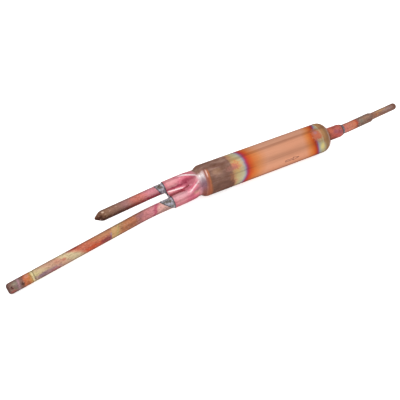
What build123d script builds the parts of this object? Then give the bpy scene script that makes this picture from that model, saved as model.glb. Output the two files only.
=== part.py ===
from build123d import *
import os
from math import asin, atan, cos, degrees, radians, sin, tan

os.makedirs("parts", exist_ok=True)

# Spun copper filter drier of a domestic refrigerator, in millimetres. The shell's axis is X, with the outlet
# towards +X, and the origin is the middle of the straight barrel. The drier lies on a flat surface, on its
# barrel and on the closed end of the inlet pipe, so that surface is at z = -shell_od / 2.

# ---- Driving dimensions -------------------------------------------------------------------------------

# Shell: one copper tube, spun down at both ends
shell_od = 19.0
shell_wall = 0.8
barrel_length = 82.0

# Inlet end of the shell: a rounded shoulder down to a short round waist
inlet_shoulder_r = 4.5
inlet_shoulder_angle = 40.0
waist_od = 15.8
waist_length = 2.2
waist_fillet_r = 2.0

# Twin neck: from the waist the tube is pinched flat along its middle into two sockets, side by side
pinched_length = 9.0
socket_length = 8.0
socket_spacing = 11.2
socket_wall = 0.65
socket_depth = 7.6
web_thickness = 1.7
crotch_gap = 0.6
neck_roll = 9.6
neck_yaw = 2.4
neck_pitch = 2.2

# How far the pinch has gone between the waist and the sockets: shares of the pinched length, of the lobes'
# spread and of the web's closing
pinch_stations = [(0.27, 0.54, 0.4), (0.58, 0.84, 0.8)]
waist_split_angle = 50.0

# Outlet end of the shell: a rounded shoulder, a steep cone and one round socket
outlet_shoulder_r = 5.5
outlet_shoulder_angle = 50.0
outlet_neck_od = 8.2
outlet_neck_length = 10.6
outlet_neck_fillet_r = 0.7
outlet_mouth_od = 7.4
outlet_mouth_taper = 1.8
outlet_socket_depth = 7.5

# Pipes: one size of copper tube, brazed into the sockets
pipe_od = 6.0
pipe_wall = 0.7
end_wall = 1.2
braze_gap = 0.05

inlet_pipe_length = 98.7
inlet_pipe_yaw = 7.8
inlet_bend_at = 15.0
inlet_bend_r = 150.0
inlet_end_round = 0.9
inlet_dimple_r = 0.55
inlet_dimple_depth = 0.5
dimple_angle = 30.0
ring_marks_at = (13.2, 14.6)
ring_mark_depth = 0.16

process_pipe_length = 43.1
process_pipe_yaw = 4.2
process_pipe_pitch = 2.1
process_bend_at = 8.0
process_bend_r = 90.0
pinch_length = 5.3
pinch_tip = 0.9
pinch_angle = 20.0
pinch_nose_od = 2.8

outlet_pipe_length = 46.9
outlet_pipe_yaw = 3.0
outlet_pipe_pitch = 2.3
outlet_bend_at = 4.9
outlet_bend_r = 50.0
outlet_step_at = 24.0
outlet_step_taper = 2.2
outlet_tip_od = 4.5
outlet_tip_round = 1.9

# Braze: a fillet at each mouth that runs out along the pipe as a thin film, further on its upper side
braze_film = 0.14
braze_fillet_shape = 1.6
inlet_braze_length = 7.2
inlet_braze_short = 0.6
inlet_braze_angle = 60.0
process_braze_length = 5.4
process_braze_short = 2.6
process_braze_angle = 60.0
cut_margin = 1.0
seam_braze_thickness = 1.3
seam_braze_height = 0.6
seam_braze_round = 0.3
outlet_braze_length = 1.4

# Screens and bead charge, inside the barrel
ring_wall = 0.6
ring_length = 3.0
ring_lip = 0.7
ring_lip_thickness = 0.5
screen_thickness = 0.4
inlet_dish = 1.6
cup_slope = 1.0
outlet_dish = 3.5
seat_gap = 0.05
hole_r = 0.6
hole_ring_spacing = 1.75
hole_rings = 3

# ---- Derived places -----------------------------------------------------------------------------------

shell_r = shell_od / 2
bore_r = shell_r - shell_wall
waist_r = waist_od / 2
pipe_r = pipe_od / 2
pipe_bore_r = pipe_r - pipe_wall
socket_r = pipe_r + braze_gap
lobe_r = socket_r + socket_wall
floor_z = -shell_r


def shoulder_corner(shoulder_r, turn, inset):
    """Distance from the origin to the sharp corner of a barrel's shoulder, moved inwards by the wall."""
    return barrel_length / 2 + (shoulder_r - inset) * tan(radians(turn / 2))


def cone_foot(shoulder_r, turn, inset, foot_r):
    """Distance from the origin to the point where a shoulder's cone comes down to a radius."""
    drop = shell_r - inset - foot_r
    return shoulder_corner(shoulder_r, turn, inset) + drop / tan(radians(turn))


waist_x = -cone_foot(inlet_shoulder_r, inlet_shoulder_angle, 0, waist_r) - waist_length
outlet_foot_x = cone_foot(outlet_shoulder_r, outlet_shoulder_angle, 0, outlet_neck_od / 2)
outlet_mouth_x = outlet_foot_x + outlet_neck_length


def heading(yaw, pitch):
    """Direction towards -X, turned towards -Y by the yaw and downwards by the pitch."""
    level = cos(radians(pitch))
    return Vector(-level * cos(radians(yaw)), -level * sin(radians(yaw)), -sin(radians(pitch)))


# The neck's frame: its z axis runs out along the sockets, and its x axis from the inlet to the process socket
neck_direction = heading(neck_yaw, neck_pitch)
across_neck = Vector(0, cos(radians(neck_roll)), sin(radians(neck_roll)))
neck_frame = Plane(origin=(waist_x, 0, 0), x_dir=across_neck, z_dir=neck_direction)


def neck_plane(across, along):
    """Plane square to the sockets, at a place across and along the neck."""
    spot = neck_frame.from_local_coords(Vector(across, 0, along))
    return Plane(origin=spot, x_dir=neck_frame.x_dir, z_dir=neck_frame.z_dir)


inlet_socket_x = -socket_spacing / 2
process_socket_x = socket_spacing / 2

# ---- Shell ----------------------------------------------------------------------------------------------


def barrel_outline(inset, inlet_r, outlet_r):
    """Corners of the half outline of the spun barrel, from the waist to the outlet's foot."""
    inlet_corner = shoulder_corner(inlet_shoulder_r, inlet_shoulder_angle, inset)
    inlet_foot = cone_foot(inlet_shoulder_r, inlet_shoulder_angle, inset, inlet_r)
    outlet_corner = shoulder_corner(outlet_shoulder_r, outlet_shoulder_angle, inset)
    outlet_foot = cone_foot(outlet_shoulder_r, outlet_shoulder_angle, inset, outlet_r)
    return [
        (waist_x, 0),
        (waist_x, inlet_r),
        (-inlet_foot, inlet_r),
        (-inlet_corner, shell_r - inset),
        (outlet_corner, shell_r - inset),
        (outlet_foot, outlet_r),
    ]


def lobed_outline(plane, pitch, side_r, half_web):
    """Two round lobes joined above and below by tangent web arcs, or a circle where the pitch is nothing."""
    if pitch == 0:
        touch = (side_r * cos(radians(waist_split_angle)), side_r * sin(radians(waist_split_angle)))
    else:
        web_r = ((pitch / 2) ** 2 + half_web**2 - side_r**2) / (2 * (side_r - half_web))
        reach = side_r / (side_r + web_r)
        touch = (pitch / 2 * (1 - reach), (half_web + web_r) * reach)
    side = pitch / 2 + side_r
    with BuildSketch(plane) as outline:
        with BuildLine():
            ThreePointArc((touch[0], -touch[1]), (side, 0), (touch[0], touch[1]))
            ThreePointArc((touch[0], touch[1]), (0, half_web), (-touch[0], touch[1]))
            ThreePointArc((-touch[0], touch[1]), (-side, 0), (-touch[0], -touch[1]))
            ThreePointArc((-touch[0], -touch[1]), (0, -half_web), (touch[0], -touch[1]))
        make_face()
    return outline.sketch


def pinched_outlines(inset, end_r, end_half_web):
    """Outlines for a loft from the round waist to the two lobes of the sockets."""
    waist_plane = Plane(origin=(waist_x, 0, 0), x_dir=across_neck, z_dir=(-1, 0, 0))
    outlines = [lobed_outline(waist_plane, 0, waist_r - inset, waist_r - inset)]
    for share, spread, closing in pinch_stations:
        side_r = waist_r + (lobe_r - waist_r) * spread - inset
        half_web = waist_r + (web_thickness / 2 - waist_r) * closing - inset
        station = neck_plane(0, pinched_length * share)
        outlines.append(lobed_outline(station, socket_spacing * spread, side_r, half_web))
    outlines.append(lobed_outline(neck_plane(0, pinched_length), socket_spacing, end_r, end_half_web))
    return outlines


def round_corner(corner, radius):
    """Round the corner of the sketch that lies at a point."""
    fillet(vertices().sort_by_distance((*corner, 0))[0], radius)


with BuildPart() as shell:
    # Outside of the barrel, its shoulders and the outlet socket, turned about X
    outer = barrel_outline(0, waist_r, outlet_neck_od / 2) + [
        (outlet_mouth_x - outlet_mouth_taper, outlet_neck_od / 2),
        (outlet_mouth_x, outlet_mouth_od / 2),
        (outlet_mouth_x, 0),
    ]
    with BuildSketch(Plane.XY):
        with BuildLine():
            Polyline(outer, close=True)
        make_face()
        round_corner(outer[2], waist_fillet_r)
        round_corner(outer[3], inlet_shoulder_r)
        round_corner(outer[4], outlet_shoulder_r)
        round_corner(outer[5], outlet_neck_fillet_r)
        round_corner(outer[6], outlet_mouth_taper)
    revolve(axis=Axis.X)
    # Outside of the twin neck: the pinched transition, then the straight pair of sockets
    neck_outlines = pinched_outlines(0, lobe_r, web_thickness / 2)
    loft(neck_outlines)
    extrude(neck_outlines[-1], amount=socket_length)
    # Room inside the barrel, one wall in from the outside, and the outlet's bore
    inner = barrel_outline(shell_wall, waist_r - shell_wall, socket_r) + [
        (outlet_mouth_x, socket_r),
        (outlet_mouth_x, 0),
    ]
    with BuildSketch(Plane.XY):
        with BuildLine():
            Polyline(inner, close=True)
        make_face()
        round_corner(inner[2], waist_fillet_r + shell_wall)
        round_corner(inner[3], inlet_shoulder_r - shell_wall)
        round_corner(inner[4], outlet_shoulder_r - shell_wall)
    revolve(axis=Axis.X, mode=Mode.SUBTRACT)
    # Room inside the pinched transition, and the two sockets' bores
    loft(pinched_outlines(shell_wall, socket_r, crotch_gap / 2), mode=Mode.SUBTRACT)
    for across in (inlet_socket_x, process_socket_x):
        with BuildSketch(neck_plane(across, pinched_length)):
            Circle(socket_r)
        extrude(amount=socket_length, mode=Mode.SUBTRACT)

# ---- Pipes ----------------------------------------------------------------------------------------------


def route(points, bend_r):
    """Centre line of a pipe through three points, with its one bend rounded."""
    with BuildLine() as line:
        FilletPolyline(*points, radius=bend_r)
    return line.line


def lengthwise_plane(end):
    """Plane through a pipe's axis: its x axis runs out of the pipe's end and its y axis is the radius."""
    return Plane(origin=end.origin, x_dir=end.z_dir, z_dir=end.y_dir)


def tube_section(line, radius):
    """Round section at the start of a pipe's centre line."""
    with BuildSketch(Plane(origin=line @ 0, z_dir=line % 0)) as section:
        Circle(radius)
    return section.sketch


def socket_end(across):
    """Where a pipe ends inside its socket of the neck."""
    return neck_plane(across, pinched_length + socket_length - socket_depth).origin


def beyond_mouth(across, distance):
    """Point on a socket's axis, at a distance outside its mouth."""
    return neck_plane(across, pinched_length + socket_length + distance).origin


# The inlet pipe slopes down from its bend until its closed end lies on the same surface as the barrel
inlet_start = socket_end(inlet_socket_x)
inlet_bend = beyond_mouth(inlet_socket_x, inlet_bend_at)
inlet_run = inlet_pipe_length - inlet_bend_at
inlet_pipe_pitch = degrees(asin((inlet_bend.Z - floor_z - pipe_r) / (inlet_run - inlet_end_round)))
inlet_heading = heading(inlet_pipe_yaw, inlet_pipe_pitch)
inlet_tip = inlet_bend + inlet_heading * inlet_run
inlet_end_plane = Plane(origin=inlet_tip, z_dir=inlet_heading)

with BuildPart() as inlet_pipe:
    outer_route = route([inlet_start, inlet_bend, inlet_tip], inlet_bend_r)
    sweep(tube_section(outer_route, pipe_r), path=outer_route)
    fillet(faces().sort_by_distance(inlet_tip)[0].edges(), inlet_end_round)
    bore_route = route([inlet_start, inlet_bend, inlet_tip - inlet_heading * end_wall], inlet_bend_r)
    sweep(tube_section(bore_route, pipe_bore_r), path=bore_route, mode=Mode.SUBTRACT)
    # The dimple left where the end was spun shut
    with BuildSketch(inlet_end_plane):
        Circle(inlet_dimple_r)
    extrude(amount=-inlet_dimple_depth, taper=dimple_angle, mode=Mode.SUBTRACT)
    # Two shallow tool marks round the pipe
    with BuildSketch(lengthwise_plane(inlet_end_plane)):
        with Locations(*[(-mark, pipe_r) for mark in ring_marks_at]):
            RegularPolygon(radius=ring_mark_depth, side_count=4)
    revolve(axis=Axis(inlet_tip, inlet_heading), mode=Mode.SUBTRACT)

process_start = socket_end(process_socket_x)
process_bend = beyond_mouth(process_socket_x, process_bend_at)
process_heading = heading(process_pipe_yaw, process_pipe_pitch)
process_shoulder = process_bend + process_heading * (process_pipe_length - process_bend_at - pinch_length)
process_shoulder_plane = Plane(origin=process_shoulder, z_dir=process_heading)
pinch_taper = degrees(atan((pipe_r - pinch_tip / 2) / pinch_length))

with BuildPart() as process_pipe:
    # The pinched point: an end drawn in to a blunt nose, then pressed by a four-sided die
    nose_r = pinch_nose_od / 2
    with BuildSketch(lengthwise_plane(process_shoulder_plane)):
        with BuildLine():
            TangentArc((0, pipe_r), (pinch_length, nose_r), tangent=(1, 0))
            Polyline((pinch_length, nose_r), (pinch_length, 0), (0, 0), (0, pipe_r))
        make_face()
    revolve(axis=Axis(process_shoulder, process_heading))
    with BuildSketch(process_shoulder_plane):
        Rectangle(pipe_od, pipe_od, rotation=pinch_angle)
    extrude(amount=pinch_length, taper=pinch_taper, mode=Mode.INTERSECT)
    # The open tube behind it
    tube_route = route([process_start, process_bend, process_shoulder], process_bend_r)
    sweep(tube_section(tube_route, pipe_r), path=tube_route)
    sweep(tube_section(tube_route, pipe_bore_r), path=tube_route, mode=Mode.SUBTRACT)

outlet_mouth = Vector(outlet_mouth_x, 0, 0)
outlet_start = outlet_mouth - Vector(outlet_socket_depth, 0, 0)
outlet_bend = outlet_mouth + Vector(outlet_bend_at, 0, 0)
outlet_heading = heading(outlet_pipe_yaw, outlet_pipe_pitch) * -1
outlet_step = outlet_bend + outlet_heading * (outlet_step_at - outlet_bend_at)
outlet_step_plane = Plane(origin=outlet_step, z_dir=outlet_heading)
outlet_tip_length = outlet_pipe_length - outlet_step_at
outlet_tip_r = outlet_tip_od / 2

with BuildPart() as outlet_pipe:
    outlet_route = route([outlet_start, outlet_bend, outlet_step], outlet_bend_r)
    sweep(tube_section(outlet_route, pipe_r), path=outlet_route)
    with BuildSketch(outlet_step_plane):
        Circle(pipe_r)
    with BuildSketch(outlet_step_plane.offset(outlet_step_taper)):
        Circle(outlet_tip_r)
    loft()
    with BuildSketch(outlet_step_plane):
        Circle(outlet_tip_r)
    extrude(amount=outlet_tip_length)
    outlet_tip = outlet_step + outlet_heading * outlet_tip_length
    fillet(faces().sort_by_distance(outlet_tip)[0].edges(), outlet_tip_round)
    sweep(tube_section(outlet_route, pipe_bore_r), path=outlet_route, mode=Mode.SUBTRACT)
    with BuildSketch(outlet_step_plane):
        Circle(pipe_bore_r)
    with BuildSketch(outlet_step_plane.offset(outlet_step_taper)):
        Circle(outlet_tip_r - pipe_wall)
    loft(mode=Mode.SUBTRACT)
    with BuildSketch(outlet_step_plane):
        Circle(outlet_tip_r - pipe_wall)
    extrude(amount=outlet_tip_length - end_wall, mode=Mode.SUBTRACT)

# ---- Braze ----------------------------------------------------------------------------------------------


def braze_fillet(mouth, foot_r, length):
    """Solid fillet of braze: hollow from the socket's rim to the pipe, then a thin film along the pipe."""
    fillet_length = (foot_r - pipe_r) * braze_fillet_shape
    film_r = pipe_r + braze_film
    with BuildPart() as deposit:
        with BuildSketch(lengthwise_plane(mouth)):
            with BuildLine():
                Bezier((0, foot_r), (fillet_length / 4, film_r), (fillet_length, film_r))
                Polyline((fillet_length, film_r), (length, film_r), (length, pipe_r))
                Polyline((length, pipe_r), (0, pipe_r), (0, foot_r))
            make_face()
        revolve(axis=Axis(mouth.origin, mouth.z_dir))
    return deposit.part


def film_edge(mouth, long_side, short_length, long_length):
    """Slanted plane in which the braze film ends, furthest out on its long side (90 is the top)."""
    outward = mouth.x_dir * cos(radians(long_side)) - mouth.y_dir * sin(radians(long_side))
    slope = (long_length - short_length) / 2 / pipe_r
    middle = mouth.origin + mouth.z_dir * ((long_length + short_length) / 2)
    return Plane(origin=middle, x_dir=mouth.z_dir.cross(outward), z_dir=mouth.z_dir - outward * slope)


def socket_mouth(across):
    """Plane of a socket's mouth, at the end of the twin neck."""
    return neck_plane(across, pinched_length + socket_length)


inlet_mouth = socket_mouth(inlet_socket_x)
process_mouth = socket_mouth(process_socket_x)
inlet_film_end = film_edge(inlet_mouth, inlet_braze_angle, inlet_braze_short, inlet_braze_length)
process_film_end = film_edge(
    process_mouth, process_braze_angle, process_braze_short, process_braze_length
)

with BuildPart() as inlet_pipe_braze:
    add(braze_fillet(inlet_mouth, lobe_r, inlet_braze_length + cut_margin))
    with BuildSketch(inlet_film_end):
        Circle(2 * pipe_od)
    extrude(amount=inlet_braze_length + cut_margin, mode=Mode.SUBTRACT)

with BuildPart() as process_pipe_braze:
    add(braze_fillet(process_mouth, lobe_r, process_braze_length + cut_margin))
    with BuildSketch(process_film_end):
        Circle(2 * pipe_od)
    extrude(amount=process_braze_length + cut_margin, mode=Mode.SUBTRACT)

with BuildPart() as web_seam_braze:
    with BuildSketch(neck_plane(0, pinched_length + socket_length)):
        Rectangle(socket_spacing, seam_braze_thickness)
        with Locations((inlet_socket_x, 0), (process_socket_x, 0)):
            Circle(lobe_r, mode=Mode.SUBTRACT)
    extrude(amount=seam_braze_height)
    fillet(faces().sort_by_distance(beyond_mouth(0, seam_braze_height))[0].edges(), seam_braze_round)

outlet_mouth_plane = Plane(origin=outlet_mouth, z_dir=(1, 0, 0))

with BuildPart() as outlet_pipe_braze:
    add(braze_fillet(outlet_mouth_plane, outlet_mouth_od / 2, outlet_braze_length))

# ---- Screens and bead charge ------------------------------------------------------------------------------

ring_outer_r = bore_r - seat_gap
ring_inner_r = ring_outer_r - ring_wall
ring_opening_r = ring_inner_r - ring_lip
flange_x = barrel_length / 2 - ring_lip_thickness
bed_end_x = flange_x - screen_thickness
dish_r = ring_opening_r - seat_gap
cup_floor_r = dish_r - cup_slope


def dish_arc(rim_x, rim_r, dish):
    """Arc from a rim to the axis, which it meets squarely, dished towards the outlet."""
    arc_r = (rim_r**2 + dish**2) / (2 * dish)
    half_angle = asin(rim_r / arc_r) / 2
    apex_x = rim_x + dish
    middle = (apex_x - arc_r * (1 - cos(half_angle)), arc_r * sin(half_angle))
    ThreePointArc((rim_x, rim_r), middle, (apex_x, 0))


def screen_ring(side):
    """Pressed ring that seats in the barrel next to a shoulder, its lip holding the screen's rim."""
    with BuildPart() as ring:
        with BuildSketch(Plane.XY):
            with BuildLine():
                Polyline(
                    (side * barrel_length / 2, ring_outer_r),
                    (side * (barrel_length / 2 - ring_length), ring_outer_r),
                    (side * (barrel_length / 2 - ring_length), ring_inner_r),
                    (side * flange_x, ring_inner_r),
                    (side * flange_x, ring_opening_r),
                    (side * barrel_length / 2, ring_opening_r),
                    close=True,
                )
            make_face()
        revolve(axis=Axis.X)
    return ring.part


with BuildPart() as inlet_screen_ring:
    add(screen_ring(-1))

with BuildPart() as outlet_screen_ring:
    add(screen_ring(1))

with BuildPart() as inlet_screen:
    # A pressed cup: a flat rim behind the ring's lip, a sloping wall and a flat perforated floor
    with BuildSketch(Plane.XY):
        with BuildLine():
            Polyline(
                (-bed_end_x, ring_inner_r - seat_gap),
                (-bed_end_x, dish_r),
                (-bed_end_x - inlet_dish, cup_floor_r),
                (-bed_end_x - inlet_dish, 0),
                (-flange_x - inlet_dish, 0),
                (-flange_x - inlet_dish, cup_floor_r),
                (-flange_x, dish_r),
                (-flange_x, ring_inner_r - seat_gap),
                close=True,
            )
        make_face()
    revolve(axis=Axis.X)
    # Rings of round holes, each ring with six more than the one inside it
    with BuildSketch(Plane.YZ.offset(-barrel_length / 2 - inlet_dish)):
        Circle(hole_r)
        for ring_number in range(1, hole_rings + 1):
            with PolarLocations(ring_number * hole_ring_spacing, 6 * ring_number):
                Circle(hole_r)
    extrude(amount=inlet_dish + ring_length, mode=Mode.SUBTRACT)

with BuildPart() as outlet_screen:
    # A gauze dome: a flat rim behind the ring's lip and a round dish through its opening
    with BuildSketch(Plane.XY):
        with BuildLine():
            dish_arc(flange_x, dish_r, outlet_dish)
            Polyline((flange_x + outlet_dish, 0), (bed_end_x + outlet_dish, 0))
            dish_arc(bed_end_x, dish_r, outlet_dish)
            Polyline(
                (bed_end_x, dish_r),
                (bed_end_x, ring_inner_r - seat_gap),
                (flange_x, ring_inner_r - seat_gap),
                (flange_x, dish_r),
            )
        make_face()
    revolve(axis=Axis.X)

with BuildPart() as desiccant_bed:
    bed_r = bore_r - seat_gap
    bed_neck_r = ring_inner_r - seat_gap
    shelf_x = barrel_length / 2 - ring_length - seat_gap
    with BuildSketch(Plane.XY):
        with BuildLine():
            Polyline(
                (-bed_end_x - inlet_dish, 0),
                (-bed_end_x - inlet_dish, cup_floor_r),
                (-bed_end_x, dish_r),
                (-bed_end_x, bed_neck_r),
                (-shelf_x, bed_neck_r),
                (-shelf_x, bed_r),
                (shelf_x, bed_r),
                (shelf_x, bed_neck_r),
                (bed_end_x, bed_neck_r),
                (bed_end_x, dish_r),
            )
            dish_arc(bed_end_x, dish_r, outlet_dish)
            Polyline((-bed_end_x - inlet_dish, 0), (bed_end_x + outlet_dish, 0))
        make_face()
    revolve(axis=Axis.X)

# ---- Files ------------------------------------------------------------------------------------------------

pieces = {
    "shell": shell,
    "inlet_pipe": inlet_pipe,
    "process_pipe": process_pipe,
    "outlet_pipe": outlet_pipe,
    "inlet_pipe_braze": inlet_pipe_braze,
    "process_pipe_braze": process_pipe_braze,
    "web_seam_braze": web_seam_braze,
    "outlet_pipe_braze": outlet_pipe_braze,
    "inlet_screen_ring": inlet_screen_ring,
    "inlet_screen": inlet_screen,
    "desiccant_bed": desiccant_bed,
    "outlet_screen_ring": outlet_screen_ring,
    "outlet_screen": outlet_screen,
}
for name, piece in pieces.items():
    piece.part.label = name
    export_step(piece.part, f"parts/{name}.step")
    print(name, round(piece.part.volume, 1))
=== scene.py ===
# %% [markdown]
# # A copper filter drier, dressed over its engineering model
# A filter drier is the small copper cartridge of a refrigerator. Refrigerant enters by the long
# pipe, passes a bed of drying beads, and leaves by the stepped pipe into a capillary tube. The
# short pinched pipe is the one that the system is evacuated and charged through.
#
# The solids come ready made from the CAD model and stay as they are, but for the long pipe, which
# is modelled once more below. Blender adds what CAD can't: the colours that a brazing torch leaves
# on copper, the grain of the metal, and the light.

# %% Load the fixed frame
from math import degrees, radians, tan

import bmesh
import bpy
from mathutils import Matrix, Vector


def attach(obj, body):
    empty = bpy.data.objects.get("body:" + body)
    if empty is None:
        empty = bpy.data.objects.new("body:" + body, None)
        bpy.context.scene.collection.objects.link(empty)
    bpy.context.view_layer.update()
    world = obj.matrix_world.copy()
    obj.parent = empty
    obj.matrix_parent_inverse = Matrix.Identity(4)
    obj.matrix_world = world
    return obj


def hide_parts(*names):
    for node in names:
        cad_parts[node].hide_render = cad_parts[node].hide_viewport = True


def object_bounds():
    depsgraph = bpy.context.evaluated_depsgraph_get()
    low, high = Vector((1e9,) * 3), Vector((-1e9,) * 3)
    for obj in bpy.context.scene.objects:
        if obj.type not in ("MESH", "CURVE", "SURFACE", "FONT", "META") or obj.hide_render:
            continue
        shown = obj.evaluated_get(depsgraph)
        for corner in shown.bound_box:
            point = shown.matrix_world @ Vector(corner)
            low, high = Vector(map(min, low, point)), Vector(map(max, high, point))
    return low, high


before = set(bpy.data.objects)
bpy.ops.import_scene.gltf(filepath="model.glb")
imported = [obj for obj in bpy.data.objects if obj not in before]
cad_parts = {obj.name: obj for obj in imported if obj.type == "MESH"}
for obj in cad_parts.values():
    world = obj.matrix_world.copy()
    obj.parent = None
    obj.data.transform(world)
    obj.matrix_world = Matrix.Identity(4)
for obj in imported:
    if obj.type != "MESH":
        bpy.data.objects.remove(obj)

cad_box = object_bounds()
mm = 0.001
print("nodes from the CAD model:", sorted(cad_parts))
print("CAD box in mm:", [[round(value / mm, 1) for value in corner] for corner in cad_box])

# %% [markdown]
# ## Camera
# The camera is placed first, because everything after it is judged through it. It looks down at
# about 46 degrees, from the side of the long pipe. A long lens would flatten the object; this one
# stands about 33 cm away, so that the near pipe end is clearly larger than the far one.

# %% Camera
CAMERA_PLACE = Vector((-150.34, -203.48, 221.82)) * mm
CAMERA_TURN = (radians(44.12), 0, radians(-27.84))
LENS_MM = 49.5
SENSOR_MM = 36.0
NEAREST_SEEN = 0.01

camera_data = bpy.data.cameras.new("camera")
camera_data.lens = LENS_MM
camera_data.sensor_width = SENSOR_MM
camera_data.clip_start = NEAREST_SEEN
camera = bpy.data.objects.new("camera", camera_data)
camera.location = CAMERA_PLACE
camera.rotation_euler = CAMERA_TURN
bpy.context.collection.objects.link(camera)
bpy.context.scene.camera = camera
print("camera to barrel, mm:", round(CAMERA_PLACE.length / mm, 1))

# %% [markdown]
# ## The long pipe: bent by hand, spun shut at its end
# The long pipe is a straight copper tube with one gentle bend. Its far end was closed on a lathe: a
# tool pushed the hot wall inwards until it met, which leaves a round shoulder and a small dimple in
# the middle. The solid has that end nearly square, so the pipe is modelled once more here, the way
# it is made: a straight tube first, then its end, then the tool marks round it, and the bend last.
# It stands in the solid's own place, so the sizes and places below are the pipe's own, in mm.

# %% The way of the long pipe
PIPE_RADIUS = 3.0
NECK_WAY = Vector((-0.9984, -0.0418, -0.0384)).normalized()
INLET_WAY = Vector((-0.9894, -0.1355, -0.0525)).normalized()
INLET_CORNER = Vector((-78.4263, -6.8557, -2.1531))
INLET_RUN = 83.7
INLET_BEND_RADIUS = 150.0

bend_angle = NECK_WAY.angle(INLET_WAY)
bend_reach = INLET_BEND_RADIUS * tan(bend_angle / 2)
straight_run = INLET_RUN - bend_reach
inlet_tip = INLET_CORNER + INLET_WAY * INLET_RUN
bend_start = INLET_CORNER + INLET_WAY * bend_reach
print("bend in degrees:", round(degrees(bend_angle), 2))
print("straight run in mm:", round(straight_run, 1))


# %% [markdown]
# ### Choosing parts of a mesh by their place
# Edit mode works on what is selected. By hand that is a click; a script needs a rule instead, such
# as "every edge on the rim of the end". The helper below selects exactly what passes a test. Places
# on the pipe are counted back from its closed end, as a fitter would measure them.

# %% Two helpers for picking
def pick(thing, kind, test):
    """In edit mode, select just the vertices, edges or faces that pass a test, and count them."""
    bpy.ops.mesh.select_all(action="DESELECT")
    bpy.ops.mesh.select_mode(type={"verts": "VERT", "edges": "EDGE", "faces": "FACE"}[kind])
    mesh = bmesh.from_edit_mesh(thing.data)
    chosen = [part for part in getattr(mesh, kind) if test(part)]
    for part in chosen:
        part.select_set(True)
    mesh.select_flush(True)
    bmesh.update_edit_mesh(thing.data)
    return len(chosen)


def from_tip(place):
    """Millimetres back from the closed end, for a place in metres."""
    return (inlet_tip - place / mm).dot(INLET_WAY)


def on_axis(back):
    """The place in metres on the pipe's axis, so many millimetres back from the closed end."""
    return (inlet_tip - INLET_WAY * back) * mm


print("the tip lies at x in mm:", round(on_axis(0).x / mm, 2))

# %% [markdown]
# ### The straight tube
# Drawn tube is round and straight, so the pipe starts as a cylinder of its length. A curve with a
# round profile would be quicker, but its end couldn't be shaped face by face. The cylinder is laid
# along the pipe's way, and the turn is then applied, so that the object itself stays unturned.

# %% Long pipe: a straight tube from the bend to the closed end
PIPE_SIDES = 64

bpy.ops.object.select_all(action="DESELECT")
bpy.ops.mesh.primitive_cylinder_add(
    vertices=PIPE_SIDES, radius=PIPE_RADIUS * mm, depth=straight_run * mm,
    location=on_axis(straight_run / 2), rotation=INLET_WAY.to_track_quat("Z", "Y").to_euler())
long_pipe = bpy.context.object
long_pipe.name = "long_inlet_pipe"
bpy.ops.object.transform_apply(location=True, rotation=True, scale=True)
print("faces of the straight tube:", len(long_pipe.data.polygons))

# %% [markdown]
# ### The closed end
# Rolling the hot wall inwards leaves a round shoulder, and a small hollow where the metal met last.
# A bevel of the rim makes the shoulder, an inset of the end face marks the spot, and that small
# face is pushed in and narrowed. A sculpted end would look no rounder and be harder to repeat.

# %% Long pipe: the end, rounded by spinning, with its dimple
END_ROUND, END_ROUND_STEPS = 1.7, 7
DIMPLE_RADIUS, DIMPLE_DEPTH, DIMPLE_TAPER = 0.55, 0.5, 0.45
TOUCH = 0.01

bpy.ops.object.mode_set(mode="EDIT")
rim_edges = pick(long_pipe, "edges", lambda e: all(abs(from_tip(v.co)) < TOUCH for v in e.verts))
bpy.ops.mesh.bevel(offset=END_ROUND * mm, segments=END_ROUND_STEPS, profile=0.5, affect="EDGES")
pick(long_pipe, "faces",
     lambda f: len(f.verts) > 4 and abs(from_tip(f.calc_center_median())) < TOUCH)
bpy.ops.mesh.inset(thickness=(PIPE_RADIUS - END_ROUND - DIMPLE_RADIUS) * mm)
bpy.ops.mesh.extrude_region_move(
    TRANSFORM_OT_translate={"value": -INLET_WAY * DIMPLE_DEPTH * mm})
bpy.ops.transform.resize(value=(DIMPLE_TAPER,) * 3, center_override=on_axis(DIMPLE_DEPTH))
print("edges rounded:", rim_edges)

# %% [markdown]
# ### The marks of the holding jaws
# The machine's jaws left two shallow rings near the end. Three cuts across the tube make room for
# each ring, and the vertices of the middle cut are drawn in towards the axis. Bump in the material
# could draw them too, but real metal also breaks the outline a little.

# %% Long pipe: two shallow rings
RING_MARKS = (13.2, 14.6)
RING_HALF_WIDTH, RING_DEPTH = 0.3, 0.18

for mark in RING_MARKS:
    for back in (mark - RING_HALF_WIDTH, mark, mark + RING_HALF_WIDTH):
        bpy.ops.mesh.select_all(action="SELECT")
        bpy.ops.mesh.bisect(plane_co=on_axis(back), plane_no=INLET_WAY)
    ring = pick(long_pipe, "verts", lambda v: abs(from_tip(v.co) - mark) < TOUCH)
    shrink = (PIPE_RADIUS - RING_DEPTH) / PIPE_RADIUS
    bpy.ops.transform.resize(value=(shrink,) * 3, center_override=on_axis(mark))
    print("vertices in the mark:", ring)

# %% [markdown]
# ### The bend
# The pipe was bent by hand, by a few degrees over a wide radius. Spinning the open end's edges
# about the centre of the bend sweeps the same arc as a bending tool, and the tube keeps its
# thickness, which a squeezed or deformed straight tube would not. A straight stub follows, which
# runs into the socket of the neck.

# %% Long pipe: the bend, spun about its own centre, and the stub in the socket
BEND_STEPS = 10
INLET_IN_SOCKET = 22.7
SAME_PLACE = 0.001

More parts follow.
